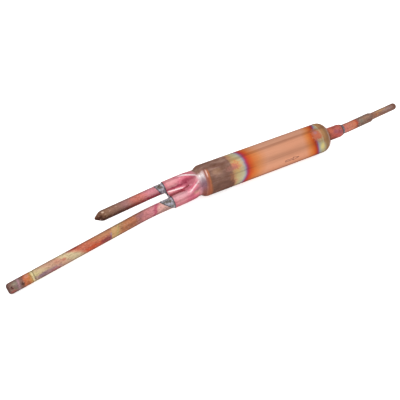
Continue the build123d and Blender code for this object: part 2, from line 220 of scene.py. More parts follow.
turn_axis = INLET_WAY.cross(NECK_WAY).normalized()
bend_centre = bend_start + turn_axis.cross(-INLET_WAY) * INLET_BEND_RADIUS
at_bend = straight_run - TOUCH
pick(long_pipe, "faces",
     lambda f: len(f.verts) > 4 and from_tip(f.calc_center_median()) > at_bend)
bpy.ops.mesh.delete(type="ONLY_FACE")
open_edges = pick(long_pipe, "edges", lambda e: all(from_tip(v.co) > at_bend for v in e.verts))
bpy.ops.mesh.spin(steps=BEND_STEPS, angle=-bend_angle, center=bend_centre * mm, axis=turn_axis)
bpy.ops.mesh.extrude_region_move(
    TRANSFORM_OT_translate={"value": -NECK_WAY * (INLET_IN_SOCKET - bend_reach) * mm})
bpy.ops.mesh.select_all(action="SELECT")
bpy.ops.mesh.remove_doubles(threshold=SAME_PLACE * mm)
bpy.ops.mesh.normals_make_consistent(inside=False)
bpy.ops.object.mode_set(mode="OBJECT")
print("edges swept round the bend:", open_edges)

# %% [markdown]
# ### The wall
# So far the mesh is only the outer skin. Solidify thickens it inwards to the wall of real tube and
# closes the edge at the socket, where the bore stays open to the shell. Shading is smooth, except
# where two faces meet at more than 40 degrees, so that the tube's cut edge stays crisp.

# %% Long pipe: its wall, its shading and its place in the frame
PIPE_WALL = 0.7
SHARP_FROM = radians(40)

bpy.ops.object.select_all(action="DESELECT")
long_pipe.select_set(True)
bpy.context.view_layer.objects.active = long_pipe
wall = long_pipe.modifiers.new("wall", "SOLIDIFY")
wall.thickness = PIPE_WALL * mm
wall.offset = -1
bpy.ops.object.modifier_apply(modifier=wall.name)
bpy.ops.object.shade_smooth_by_angle(angle=SHARP_FROM)
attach(long_pipe, "root")
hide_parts("inlet_pipe")
corners = [Vector(v.co) / mm for v in long_pipe.data.vertices]
print("long pipe from x", round(min(c.x for c in corners), 2),
      "to", round(max(c.x for c in corners), 2),
      "lowest z", round(min(c.z for c in corners), 2), "faces", len(long_pipe.data.polygons))

# %% [markdown]
# ## Colours and shader maths
# A colour is easiest to choose as it should look on the screen, but a shader adds and multiplies
# light. So each chosen colour is turned into linear light once, here.

# %% Screen colours to linear light
def shade(code):
    """Linear colour of a screen colour given as six hex digits."""
    parts = [int(code[i:i + 2], 16) / 255 for i in (0, 2, 4)]
    return tuple(part / 12.92 if part <= 0.04045 else ((part + 0.055) / 1.055) ** 2.4
                 for part in parts) + (1.0,)


print("bare copper in linear light:", [round(part, 3) for part in shade("DB9A80")])


# %% [markdown]
# ### Sums written as sums
# A material is a network of small sums. Placing dozens of Math nodes by hand hides what they work
# out. The class below stands for the output of a node, and each operator on it adds the node that
# does the sum, so that `heat * 0.5 + 1` reads as what it is. Two shapes are needed all the time and
# get a name: a soft step from 0 to 1, and a soft band around a value.

# %% A wire that can be added, multiplied and compared
class Wire:
    """The output socket of a node, with maths that adds the nodes it needs."""

    def __init__(self, bench, socket):
        self.bench = bench
        self.socket = socket

    def math(self, operation, *values):
        return self.bench.add("ShaderNodeMath", {"operation": operation}, *values)

    def __add__(self, other): return self.math("ADD", self, other)
    def __radd__(self, other): return self.math("ADD", other, self)
    def __sub__(self, other): return self.math("SUBTRACT", self, other)
    def __rsub__(self, other): return self.math("SUBTRACT", other, self)
    def __mul__(self, other): return self.math("MULTIPLY", self, other)
    def __rmul__(self, other): return self.math("MULTIPLY", other, self)
    def __truediv__(self, other): return self.math("DIVIDE", self, other)
    def __rtruediv__(self, other): return self.math("DIVIDE", other, self)
    def __neg__(self): return self.math("MULTIPLY", self, -1.0)
    def __abs__(self): return self.math("ABSOLUTE", self)

    def most(self, other): return self.math("MAXIMUM", self, other)

    def step(self, low, high):
        """0 below low, 1 above high and a smooth rise between; falls if low is the larger."""
        ends = (1.0, 0.0) if low > high else (0.0, 1.0)
        return self.bench.add("ShaderNodeMapRange", {"interpolation_type": "SMOOTHSTEP"},
                              self, min(low, high), max(low, high), *ends)

    def band(self, middle, half_width, soft):
        """1 near a middle value, falling to 0 over a soft edge."""
        return abs(self - middle).step(half_width + soft, half_width)


# %% [markdown]
# ### One way to add a node
# By hand a node is added, its settings are chosen, and its sockets are filled or linked. The table
# below does the three in that order for any kind of node, so that every tree in this file, of a
# metal, of the floor or of the room, is built in the same way.

# %% The node table
class NodeTable:
    """An emptied node tree, with one method that adds any node to it."""

    def __init__(self, tree):
        self.tree = tree
        tree.nodes.clear()

    def add(self, kind, settings, *values, **named):
        """A node of a kind, its settings made first, then the values or links of its sockets."""
        node = self.tree.nodes.new(kind)
        output = 0
        for key, value in settings.items():
            if key == "output":
                output = value
            elif key == "stops":
                ramp = node.color_ramp
                while len(ramp.elements) < len(value):
                    ramp.elements.new(0.5)
                for element, (place, colour) in zip(ramp.elements, value):
                    element.position = place
                    element.color = colour
            else:
                setattr(node, key, value)
        open_sockets = [socket for socket in node.inputs if socket.enabled]
        by_name = {socket.name.replace(" ", "_"): socket for socket in reversed(open_sockets)}
        pairs = list(zip(open_sockets, values))
        pairs += [(by_name[name], value) for name, value in named.items()]
        for socket, value in pairs:
            if isinstance(value, Wire):
                self.tree.links.new(value.socket, socket)
            else:
                socket.default_value = value
        return Wire(self, node.outputs[output]) if node.outputs else None


# %% [markdown]
# ### The bench that a finish is made on
# Every finish starts the same way: an empty material, and the place of the point being coloured.
# That place is the object's own, in millimetres, so a mark stays where it is put, however the drier
# is turned. The bench has one method per kind of step: noise for what chance did, a ramp for a
# series of colours, mix for one colour over another, and finish, which feeds the surface shader.

# %% The bench
EDGE_TONE = (0.42, 0.32, 0.29, 1.0)
EDGE_SHINE = 0.25
BUMP_DISTANCE = 0.1 * mm


class Bench(NodeTable):
    """One material, with the surface's place in millimetres and the steps of a finish."""

    def __init__(self, name):
        self.material = bpy.data.materials.new(name)
        self.material.use_nodes = True
        super().__init__(self.material.node_tree)
        place = self.add("ShaderNodeTexCoord", {"output": "Object"})
        self.place = self.add("ShaderNodeVectorMath", {"operation": "SCALE"}, place, Scale=1 / mm)
        self.x = self.add("ShaderNodeSeparateXYZ", {}, self.place)

    def along(self, start, direction):
        """Distance in millimetres along a line, from its start."""
        offset = self.add("ShaderNodeVectorMath", {"operation": "SUBTRACT"},
                          self.place, tuple(start))
        return self.add("ShaderNodeVectorMath", {"operation": "DOT_PRODUCT", "output": "Value"},
                        offset, tuple(direction))

    def noise(self, scale, detail=3.0, stretch=(1, 1, 1), rough=0.5):
        """Soft random value around 0.5; scale counts its lumps per millimetre."""
        place = self.add("ShaderNodeVectorMath", {"operation": "MULTIPLY"}, self.place, stretch)
        return self.add("ShaderNodeTexNoise", {"output": "Fac"}, place,
                        Scale=scale, Detail=detail, Roughness=rough)

    def ramp(self, value, low, high, stops):
        """Colour that changes with a value; each stop is a place between low and high, a colour."""
        span = high - low
        made = [((place - low) / span, shade(code)) for place, code in stops]
        return self.add("ShaderNodeValToRGB", {"stops": made}, (value - low) / span)

    def mix(self, mask, under, over):
        """One colour laid over another where the mask is 1."""
        under = shade(under) if isinstance(under, str) else under
        over = shade(over) if isinstance(over, str) else over
        mixed = self.add("ShaderNodeMix", {"data_type": "RGBA"}, mask, under, over)
        return Wire(self, next(o for o in mixed.socket.node.outputs if o.enabled))

    def finish(self, colour, rough, metal, bump, strength):
        """Feed the surface: links where a value changes over it, plain values where it doesn't."""
        relief = self.add("ShaderNodeBump", {"output": "Normal"}, Strength=strength,
                          Distance=BUMP_DISTANCE, Height=bump)
        surface = self.add("ShaderNodeBsdfPrincipled", {}, Base_Color=colour, Roughness=rough,
                           Metallic=metal, Normal=relief, Specular_IOR_Level=EDGE_SHINE,
                           Specular_Tint=EDGE_TONE)
        self.add("ShaderNodeOutputMaterial", {}, surface)
        print(self.material.name, "is made of nodes:", len(self.tree.nodes))
        return self.material


# %% [markdown]
# ## The frame that the heat colours are laid out in
# Every heat colour on this object is a band across a tube. So each finish needs three numbers: how
# far along the tube a point is, how high up its side, and how far round to the front. Plain dot
# products of the point's place give all three, and they hold from any view. The same frame carries
# the single marks: an oval patch is a distance from its middle, with a soft and ragged edge.

# %% Along, up and to the front of a tube
WORK_SIDE = Vector((-0.325, -0.616, 0.718))


def top_and_front(heading):
    """The directions up and to the front across a tube that heads some way."""
    front = (WORK_SIDE - heading * WORK_SIDE.dot(heading)).normalized()
    top = heading.cross(front)
    return (top if top.z > 0 else -top), front


class Tube:
    """The place of a surface point on a straight tube: along in mm, up and front in radii."""

    def __init__(self, bench, start, heading, radius=1.0):
        heading = Vector(heading).normalized()
        top, front = top_and_front(heading)
        self.along = bench.along(start, heading)
        self.up = bench.along(start, top) / radius
        self.front = bench.along(start, front) / radius

    def patch(self, middle, up, half_length, half_height, soft, warp):
        """1 inside an oval patch on the front of the tube, fading over a soft edge."""
        flat = (self.along - middle) / half_length
        tall = (self.up - up) / half_height
        squares = flat * flat + tall * tall
        reach = squares.math("SQRT", squares) + warp
        return reach.step(1 + soft, 1 - soft) * self.front.step(-0.3, 0.1)


def lay_on(bench, tube, colour, marks, soft, warp, only=None):
    """Lay a list of oval marks over a colour, one after the other, where a mask allows it."""
    for middle, up, half_length, half_height, strength, tone in marks:
        mask = tube.patch(middle, up, half_length, half_height, soft, warp)
        mask = mask if only is None else mask * only
        colour = bench.mix(mask * strength, colour, tone)
    return colour


print("up across the barrel:", [round(part, 3) for part in top_and_front(Vector((1, 0, 0)))[0]])

# %% [markdown]
# ## The shell's finish
# Copper that is heated in air grows an oxide film, and the film's thickness picks its colour: first
# orange and red, then a thin line of purple, then pale green-grey and yellow, and at last a dull
# brown. The torch was at both ends of the barrel, so both ends run through that series and the
# middle stays bright. One colour ramp along the barrel holds each series, and the place on the
# ramp is bent and roughened, because no flame stops at a straight line. Every mark below is given
# by its place in millimetres along the barrel, and up its side in radii.

# %% Shell: the inlet end, from bare copper to yellow-green film
BARREL_RADIUS = 9.5

shell = Bench("shell_heat_tinted_copper")
barrel = Tube(shell, (0, 0, 0), (1, 0, 0), BARREL_RADIUS)
cloud = shell.noise(0.16) - 0.5
fine = shell.noise(0.9) - 0.5
lean = 1 - (barrel.front * 0.985 + barrel.up * 0.174)
inlet_heat = shell.x + lean * 3.8 + cloud * 2.6 + fine * 0.6
inlet_end = shell.ramp(inlet_heat, -30, 2, [
    (-24.5, "B08C68"), (-21.5, "B8A678"), (-18.2, "B2AE92"), (-17.1, "A19EA0"), (-16.2, "8F6C88"),
    (-15.3, "A03A58"), (-14.3, "B83E36"), (-12.8, "C2552A"), (-10.4, "C8703A"), (-7.0, "CA8454"),
    (-1.5, "CC9274")])
tan_fringe = abs(barrel.up + fine * 0.3).step(0.52, 0.78) * inlet_heat.step(-20.3, -22.6)
inlet_end = shell.mix(tan_fringe * 0.75, inlet_end, "B5846A")
halo = barrel.patch(-21.6, 0.15, 3.4, 0.36, 0.55, fine * 2.4)
inlet_end = shell.mix(halo * 0.75, inlet_end, "D09C5C")
flame = barrel.patch(-22.9, 0.12, 3.0, 0.20, 0.60, fine * 3.0)
inlet_end = shell.mix(flame * 0.85, inlet_end, "BC6C60")
print("shell nodes after the inlet end:", len(shell.tree.nodes))

# %% [markdown]
# ### The brown scale
# Closest to the torch the film grew into a dull brown scale. It isn't one brown: the flame swept
# along the tube and left long, faint streaks, which a noise stretched along the barrel gives. The
# scale stops at a ragged edge, with a few rusty spots where it flaked.

# %% Shell: the brown scale nearest the torch
mottle = shell.noise(0.32, 5.0, stretch=(0.4, 1, 1), rough=0.60)
brown = shell.ramp(mottle + barrel.up * 0.06, 0.3, 0.7, [
    (0.34, "6A4C42"), (0.43, "765648"), (0.50, "7F5E54"), (0.56, "846658"), (0.61, "8C6A60"),
    (0.67, "9A7A6C")])
brown_low = barrel.up.step(-0.30, -0.85)
brown = shell.mix(brown_low * 0.45, brown, "5C4038")
is_brown = (shell.x + cloud * 1.6 + fine * 2.6).step(-24.3, -25.8)
inlet_end = shell.mix(is_brown, inlet_end, brown)
inlet_end = lay_on(shell, barrel, inlet_end, [(-34.5, 0.18, 2.6, 0.20, 0.40, "9C7858")],
                   soft=0.6, warp=fine * 2.0)
RUSTY_SPOTS = [
    # along, up, half length, half height, strength, colour
    (-25.4, 0.06, 2.8, 0.15, 0.65, "A26E64"),
    (-25.6, -0.42, 1.6, 0.24, 0.50, "A8704E"),
]
inlet_end = lay_on(shell, barrel, inlet_end, RUSTY_SPOTS, soft=0.8, warp=fine * 3.5)
print("shell nodes after the scale:", len(shell.tree.nodes))

# %% [markdown]
# ### The outlet end
# One thin pipe needs less heat than two, so the outlet end shows the same series in half the
# length. The flame came from one side and licked a rose patch into the yellow there.

# %% Shell: the outlet end, where the flame licked a shorter stretch
high_side = barrel.up.step(0.35, 0.85)
outlet_heat = shell.x - (1 - barrel.front) * 3.4 - high_side * 1.5 + cloud * 1.3 + fine * 0.5
outlet_end = shell.ramp(outlet_heat, 22, 44, [
    (24.5, "CC9072"), (28.5, "CA7C44"), (31.0, "BE5A26"), (32.6, "A03622"), (33.6, "88486A"),
    (34.3, "8C8894"), (35.3, "9EA090"), (37.2, "B2AA7C"), (38.8, "9C9078"), (40.2, "8C7452")])
gold = (shell.x + fine * 1.4).step(37.6, 39.0) * (barrel.up + fine * 0.4).step(-0.62, -0.22)
outlet_end = shell.mix(gold * 0.9, outlet_end, "A67A52")
pale_line = (shell.x + fine * 0.9).band(38.5, 0.16, 0.36) * barrel.up.step(-0.75, -0.4)
outlet_end = shell.mix(pale_line * 0.65, outlet_end, "BCB694")
dull_shoulder = (shell.x + fine * 1.2).step(40.2, 41.6)
outlet_end = shell.mix(dull_shoulder * 0.6, outlet_end, "86644A")
shell_colour = shell.mix(shell.x.step(6, 16), inlet_end, outlet_end)
rose_edge = barrel.patch(35.6, 0.20, 3.5, 0.42, 0.25, fine * 1.8)
shell_colour = shell.mix(rose_edge * 0.5, shell_colour, "BC8A5C")
rose_patch = barrel.patch(35.6, 0.20, 3.0, 0.36, 0.45, fine * 1.8)
shell_colour = shell.mix(rose_patch * 0.95, shell_colour, "B8664E")
HEARTS = [
    (35.2, 0.36, 1.1, 0.10, 0.50, "A0808C"),
    (37.6, -0.60, 1.4, 0.15, 0.75, "CDBB74"),
]
shell_colour = lay_on(shell, barrel, shell_colour, HEARTS, soft=0.7, warp=fine)
print("shell nodes after the outlet end:", len(shell.tree.nodes))

# %% [markdown]
# ### Drawing lines
# Tube is pulled through a die, and grit in the die leaves lines along its whole length. A noise
# stretched fifty times along the barrel gives the many faint ones, and three soft bands add darker
# lines at set heights up its side. The last two steps paint light and shade: a paler band high on
# the side is a painted sheen, and the darkened outline is painted shade.

# %% Shell: the drawing lines of the tube, a painted sheen, and painted shade on its outline
long_streaks = shell.noise(1.3, stretch=(0.02, 1, 1)) - 0.5
upper_line = barrel.up.band(0.55, 0.03, 0.10)
middle_line = barrel.up.band(-0.27, 0.07, 0.12) * shell.x.step(-8, 4)
low_line = barrel.up.band(-0.32, 0.02, 0.06) * shell.x.step(-8, -16)
lines = upper_line * 0.34 + middle_line * 0.20 + low_line * 0.30 + long_streaks * 0.55
shell_colour = shell.mix(lines.most(0.0), shell_colour, "6A4030")
# painted sheen: a paler band high on the barrel's side
painted_sheen_side = barrel.up.step(0.58, 0.70) * shell.x.step(-14, -6) * shell.x.step(34, 28)
shell_colour = shell.mix(painted_sheen_side * 0.30, shell_colour, "CFA590")
# painted shade: the top and bottom of the outline darkened
edges = barrel.up.step(0.88, 1.0) + barrel.up.step(-0.86, -1.0)
shell_colour = shell.mix(edges * 0.5, shell_colour, "5E3A2C")
print("shell nodes after the lines:", len(shell.tree.nodes))

# %% [markdown]
# ## The flow arrow
# A drier only works one way round, so a plain arrow on the barrel points to the outlet. Ink on
# metal has no thickness worth modelling: the arrow is an outline drawn in the finish, from
# distances along and round the barrel. It is an arrow less the same arrow, drawn in by a line's
# width.

# %% Shell: flow arrow
ARROW_TAIL, ARROW_NECK, ARROW_TIP = 10.0, 15.8, 20.6
ARROW_HALF_SHAFT, ARROW_HALF_HEAD = 0.60, 1.35
ARROW_LINE = 0.32
ARROW_UP = -0.70
INK_EDGE = 0.1


def arrow_shape(along, across, inset):
    """1 inside the arrow, drawn in from its outline by an inset."""
    half = ARROW_HALF_SHAFT - inset
    tail = ARROW_TAIL + inset
    shaft = (across.step(half + INK_EDGE, half) * along.step(tail, tail + INK_EDGE)
             * along.step(ARROW_NECK + INK_EDGE, ARROW_NECK))
    slope = (ARROW_TIP - along) * (ARROW_HALF_HEAD / (ARROW_TIP - ARROW_NECK)) - inset * 1.1
    barbs = ARROW_NECK + inset
    head = (slope - across).step(0.0, INK_EDGE) * along.step(barbs - INK_EDGE, barbs)
    return shaft.most(head)


round_the_barrel = BARREL_RADIUS / (1 - ARROW_UP ** 2) ** 0.5
across = abs((barrel.up - ARROW_UP) * round_the_barrel)
arrow = arrow_shape(shell.x, across, 0.0) - arrow_shape(shell.x, across, ARROW_LINE)
ink = arrow.most(0.0) * barrel.front.step(0.0, 0.2) * shell.noise(2.5, 2.0).step(0.22, 0.42)
shell_colour = shell.mix(ink * 0.85, shell_colour, "46282C")
print("arrow length in mm:", round(ARROW_TIP - ARROW_TAIL, 1))

# %% [markdown]
# ### The rolled rim
# Where the barrel turns in towards the neck, the spinning tool left a rolled rim, and the torch
# coloured it. It is a narrow ring of copper, with a painted highlight high on the front and a
# darker foot. The ring leans a little, as a tool held by hand leaves it.

# %% Shell: the rolled rim
rim_start = -42.3 + barrel.up * 0.9
past_rim_start = shell.x - rim_start
on_rim = (past_rim_start - fine * 0.4).step(-0.2, 0.3) * (shell.x + fine * 0.6).step(-38.7, -39.5)
on_rim = on_rim * (barrel.up + fine * 0.2).step(0.62, 0.42)
rim_colour = shell.ramp(past_rim_start + fine * 1.2, -0.5, 4, [
    (0.0, "9C706A"), (0.7, "965E54"), (1.5, "9A5A48"), (2.4, "B06A48"), (3.1, "805844")])
# painted highlight: a pale streak high on the front of the rim
rim_painted_highlight = past_rim_start.band(1.4, 0.18, 0.40) * (barrel.up + fine * 0.2).band(0.32, 0.12, 0.20)
rim_colour = shell.mix(rim_painted_highlight * 0.75, rim_colour, "E8C4B6")
rim_low = barrel.up.step(-0.35, -0.8)
rim_colour = shell.mix(rim_low * 0.6, rim_colour, "8A5038")
print("shell nodes after the rim:", len(shell.tree.nodes))

# %% [markdown]
# ### The shoulder and the pinched neck
# The neck was hottest, and the flux that keeps braze clean ran over it and froze to a thin pink
# glaze. The shoulder beside it fades from grey-white at the top, a painted highlight, to a burnt
# mauve below. Both are ramps, one up the shoulder and one along the neck, with soft ovals laid on:
# oxide tints, painted shade in the valley under the far socket, and painted light on the near
# socket's upper flank. From here on, up and front on the neck are in millimetres.

# %% Shell: the shoulder and the pinched neck, under a thin glaze of flux
NECK_START = (-46.74, 0, 0)

neck = Tube(shell, NECK_START, NECK_WAY)
beyond_rim = (past_rim_start - fine * 0.3).step(0.3, -0.2)
top_brown = (barrel.up + fine * 0.15).step(0.55, 0.72) * (shell.x + fine).step(-46.8, -45.6)
# the shoulder's mauve tint, with a painted grey-white highlight at its top
shoulder_tint_and_painted_glare = shell.ramp(neck.up + cloud * 3, -8, 6, [
    (-7, "7C4A42"), (-4.5, "7C565E"), (-2, "8E6C78"), (0.5, "B29CA0"), (2.5, "D2C6C6"),
    (3.6, "C4B0AE"), (4.7, "8E685C")])
flush = shell.ramp(neck.along + cloud * 2 + fine, -4.5, 18, [
    (-1.0, "C48E94"), (1.5, "C67480"), (4.5, "BE6274"), (8.0, "C46C7C"), (11.5, "CC868C"),
    (15, "CA868A"), (17, "B86A74")])
neck_colour = shell.mix((neck.along + fine).step(-2.2, 0.6), shoulder_tint_and_painted_glare, flush)
NECK_MARKS = [
    # along, up, half length, half height, strength, colour
    # painted shade: the first two dark crimson ovals lie in the valley under the far socket
    (3.4, 3.8, 3.2, 1.2, 0.65, "9C3048"),
    (12.0, 2.4, 6.5, 0.8, 0.85, "8E2440"),
    (12.0, -0.3, 5.5, 0.5, 0.55, "A8304C"),
    # painted light: the pale pink over the near socket's upper flank
    (12.0, -3.4, 7.5, 1.6, 0.60, "CCA0A6"),
    (10.0, 6.0, 5.0, 0.9, 0.35, "D8A2A4"),
    (0.5, -4.4, 2.6, 1.6, 0.50, "8E5C6C"),
    (10.0, -7.6, 9.0, 0.8, 0.50, "8A3A4C"),
    (2.6, -5.2, 2.4, 0.9, 0.50, "C49680"),
    (-5.2, 2.4, 1.0, 2.6, 0.60, "8A625C"),
]
neck_colour = lay_on(shell, neck, neck_colour, NECK_MARKS, soft=0.5, warp=fine * 1.6)
print("marks on the neck:", len(NECK_MARKS))

# %% [markdown]
# ### Painted highlights on the ridges
# The dies that pinched the tube pressed hardest on three lines: over the far socket, along the fold
# between the sockets, and down the near socket's root. These ridges carry painted highlights, each
# a band about its own line across the neck, faded out at both ends. A paler stretch, painted light,
# lightens the shaded end of the fold's groove.

# %% Shell: painted highlights along the ridges of the neck
before_middle = 8 - neck.along
# painted highlights: pale bands along the three ridges
far_ridge_highlight = (neck.up - (7.7 - before_middle * before_middle * 0.052)).band(0, 0.22, 0.50)
far_ridge_highlight = far_ridge_highlight * neck.along.step(-2.0, 0.5) * neck.along.step(9.5, 6.5)
fold = neck.up - 0.44 - (neck.along - 7) * 0.126
fold_highlight = fold.band(0, 0.16, 0.40) * neck.along.step(6.5, 8.5) * neck.along.step(17.0, 15.8)
root_ridge_highlight = (neck.up + 0.3 + neck.along * 0.56).band(0, 0.22, 0.50)
root_ridge_highlight = root_ridge_highlight * neck.along.step(-1.5, 0.5) * neck.along.step(7.0, 5.5)
painted_ridge_highlights = far_ridge_highlight * 0.75 + fold_highlight * 0.64 + root_ridge_highlight * 0.5
# painted light over the shaded end of the fold
fold_end_painted_light = fold.band(0, 0.3, 0.5) * neck.along.step(2.5, 4.0) * neck.along.step(9.0, 7.0)
neck_colour = shell.mix(fold_end_painted_light * 0.6, neck_colour, "E89CA8")
neck_colour = shell.mix(painted_ridge_highlights * neck.front.step(-1.5, 0.5), neck_colour, "F6E8E8")
neck_soot = shell.noise(1.6, 4.0).step(0.55, 0.70)
neck_colour = shell.mix(neck_soot * 0.35, neck_colour, "8C4A4C")
shell_colour = shell.mix(beyond_rim * (1 - top_brown), shell_colour, neck_colour)
shell_colour = shell.mix(on_rim, shell_colour, rim_colour)
print("shell nodes after the ridges:", len(shell.tree.nodes))

# %% [markdown]
# ### The outlet neck
# At the outlet the tube ends in one small round socket, blotched red and brown and sooty at its
# mouth. Two noises make the blotches, and a list of ovals the larger ones.

# %% Shell: the outlet neck
SOCKET_START = (43, 0, 0)
SOCKET_RADIUS = 3.7

outlet_neck = shell.ramp(shell.x + fine * 3, 42, 60, [
    (42.5, "94704E"), (43.6, "A08880"), (44.4, "A4604C"), (49, "B25C50"), (55, "AA5656"),
    (59, "B06858")])
shell_colour = shell.mix(shell.x.step(42.4, 43.2), shell_colour, outlet_neck)
on_outlet_neck = shell.x.step(43.5, 45)
dark_blots = shell.noise(0.9, 5.0, rough=0.65).step(0.50, 0.62) * on_outlet_neck
shell_colour = shell.mix(dark_blots * 0.55, shell_colour, "7E4638")
bright_blots = shell.noise(0.75, 4.0, stretch=(1, 1.3, 1.3)).step(0.54, 0.66) * on_outlet_neck
shell_colour = shell.mix(bright_blots * 0.45, shell_colour, "DC8A72")
outlet_socket = Tube(shell, SOCKET_START, (1, 0, 0), SOCKET_RADIUS)
SOCKET_MARKS = [
    # along, up, half length, half height, strength, colour
    (2.5, 0.25, 2.2, 0.45, 0.50, "C27A54"),
    (3.0, -0.45, 3.2, 0.35, 0.60, "7A4A3C"),
    (7.0, 0.35, 2.0, 0.40, 0.50, "CC7256"),
    (10.0, 0.05, 2.0, 0.40, 0.55, "985A6C"),
    (11.5, 0.50, 1.6, 0.30, 0.50, "C8745C"),
    (9.0, -0.62, 2.6, 0.25, 0.45, "A8483E"),
    (13.5, -0.30, 1.2, 0.30, 0.50, "8C5468"),
]
shell_colour = lay_on(shell, outlet_socket, shell_colour, SOCKET_MARKS,
                      soft=0.6, warp=fine * 2.4, only=on_outlet_neck)
neck_shade = barrel.up.step(-0.20, -0.40) * on_outlet_neck * shell.x.step(56, 49)
shell_colour = shell.mix(neck_shade * 0.8, shell_colour, "50302A")
mouth_soot = (shell.x + fine * 0.6).step(57.7, 58.2)
shell_colour = shell.mix(mouth_soot * 0.85, shell_colour, "4E4A4E")
print("marks on the outlet neck:", len(SOCKET_MARKS))

# %% [markdown]
# ### Relief and gloss
# Colour alone would look painted on. The glazed neck is smooth and softly lumpy, the scale is
# grainy, and the barrel carries its drawing lines, so the bump's height and the roughness change
# from place to place with the same masks as the colours.

# %% Shell: relief, gloss and the finished material
on_neck = shell.x.step(-41.5, -43.5) * (1 - top_brown)
neck_lumps = shell.noise(0.55, 2.0) * on_neck * 5.0
outlet_lumps = shell.noise(1.1, 4.0) * on_outlet_neck * 4.0
scale_grain = shell.noise(1.6, 4.0) * is_brown * (1 - on_neck) * 1.2
shell_height = long_streaks * 0.6 + neck_lumps + outlet_lumps + scale_grain
shell_rough = 0.42 + shell.noise(0.8) * 0.12 - on_neck * 0.28
shell_finish = shell.finish(shell_colour, rough=shell_rough, metal=0.72,
                            bump=shell_height, strength=0.35)

# %% [markdown]
# ## The pipes' finishes
# The pipes were brazed with a torch too, but by hand and one after the other, so their bands are
# more ragged than the barrel's, and the side that faced the flame differs from the side below. All
# three share the soot specks, the rubbed pale spots and painted shade along their sides; only the
# bands differ.

# %% What the three pipes share
def pipe_bench(name, start, heading):
    """A bench for one pipe, its tube frame, and two noises that make the bands ragged."""
    bench = Bench(name)
    tube = Tube(bench, start, heading, PIPE_RADIUS)
    return bench, tube, bench.noise(0.30) - 0.5, bench.noise(1.1) - 0.5


def used_pipe(bench, tube, colour, soot):
    """The end of each pipe's finish: soot, rubbed spots, painted side shade and the drawing lines.
    """
    specks = bench.noise(1.9, 4.0, stretch=(0.4, 1, 1)).step(0.48, 0.66)
    colour = bench.mix(specks * soot, colour, "64463C")
    rubbed = bench.noise(1.5, stretch=(0.6, 1, 1)).step(0.55, 0.70)
    colour = bench.mix(rubbed * 0.30, colour, "DDB8A4")
    # painted shade along the top and bottom sides of the pipe
    painted_side_shade = abs(tube.up).step(0.62, 1.0)
    colour = bench.mix(painted_side_shade * 0.55, colour, "50322C")
    lines_and_grain = bench.noise(2.2, 2.0, stretch=(0.04, 1, 1)) + bench.noise(1.2, 4.0) * 0.8
    return bench.finish(colour, rough=0.46 + bench.noise(0.9) * 0.16, metal=0.60,
                        bump=lines_and_grain, strength=0.35)


# %% [markdown]
# ### The long inlet pipe
# From the braze outwards the pipe goes from pink through red-brown to tan. A hard, slanting edge
# follows, where the fitter's second pass of the torch began. Beyond it the colours run to straw and
# cream, with a few strong patches on the side of the flame, and the spun end is smoked brown again.

# %% Inlet pipe: from the braze to the hard edge
pipe, tube, cloud, fine = pipe_bench("inlet_pipe_heat_tinted_copper", INLET_CORNER, INLET_WAY)
leaning = tube.along + cloud * 4 + fine * 1.5 + tube.up * 2.0
near_colour = pipe.ramp(leaning, -16, 25, [
    (-13, "DCB0A6"), (-5.8, "D8A29C"), (-4.0, "B44C68"), (-2, "CA828A"), (3.5, "C07C7C"),
    (6.5, "A46A68"), (9.5, "B27052"), (17, "B07450"), (19.5, "B88E62"), (23, "C29C6C")])
leaf_line = leaning.band(20.6, 0.3, 0.4)
near_colour = pipe.mix(leaf_line * 0.6, near_colour, "A8A060")
smoke = tube.patch(12, -0.45, 5, 0.35, 0.5, fine)
near_colour = pipe.mix(smoke * 0.45, near_colour, "7C4E40")
NEAR_MARKS = [
    # along, up, half length, half height, strength, colour
    (18.2, -0.05, 0.9, 0.55, 0.50, "8A5A42"),
    (6.5, 0.30, 2.6, 0.40, 0.50, "9C6C78"),
]
near_colour = lay_on(pipe, tube, near_colour, NEAR_MARKS, soft=0.6, warp=fine * 2)
print("nodes of the near half:", len(pipe.tree.nodes))

# %% [markdown]
# Past the hard edge the flame was swept along the pipe, so the ramp reads a distance that leans
# strongly up the side. Single flares that reached further round are laid on as ovals.

# %% Inlet pipe: from the hard edge to the ring marks
swept = tube.along - tube.up * 5.0 + fine * 2.2
far_colour = pipe.ramp(swept, 24, 72, [
    (27, "B8765C"), (34, "BE6C50"), (42.5, "BE6852"), (44.6, "CC9478"), (46.4, "CFBC96"),
    (51, "D0BC94"), (54, "C89C82"), (60, "C8A086"), (64, "CCB48E"), (69, "D0C08C")])
hard_edge = tube.along + tube.up * 1.2
lavender = hard_edge.band(24.7, 0.40, 0.3) * tube.up.step(0.25, -0.05)
far_colour = pipe.mix(lavender * 0.8, far_colour, "A08A9C")
FAR_MARKS = [
    # along, up, half length, half height, strength, colour
    (29.5, 0.52, 6.5, 0.34, 0.60, "B4865E"),
    (36.5, -0.62, 6.5, 0.34, 0.75, "BE4420"),
    (28.0, -0.58, 3.6, 0.34, 0.80, "7A3440"),
    (46.5, -0.70, 5.0, 0.30, 0.50, "AEA084"),
    (46.5, 0.78, 3.6, 0.24, 0.70, "9A3C38"),
    (52.6, 0.00, 1.2, 0.22, 0.55, "BE5248"),
    (63.0, -0.66, 7.5, 0.46, 0.85, "966E7A"),
    (65.5, -0.58, 2.4, 0.22, 0.60, "786474"),
    (58.5, -0.80, 2.6, 0.20, 0.60, "A8585C"),
    (56.0, 0.25, 1.8, 0.45, 0.45, "C8806E"),
]
far_colour = lay_on(pipe, tube, far_colour, FAR_MARKS, soft=0.45, warp=fine * 1.4)
print("marks on the far half:", len(FAR_MARKS))

# %% [markdown]
# The spun end was heated once more by itself. Its own ramp starts in a pale ring beside the jaw
# marks, where oil collected and burnt, and ends in brown smoke round the dimple.

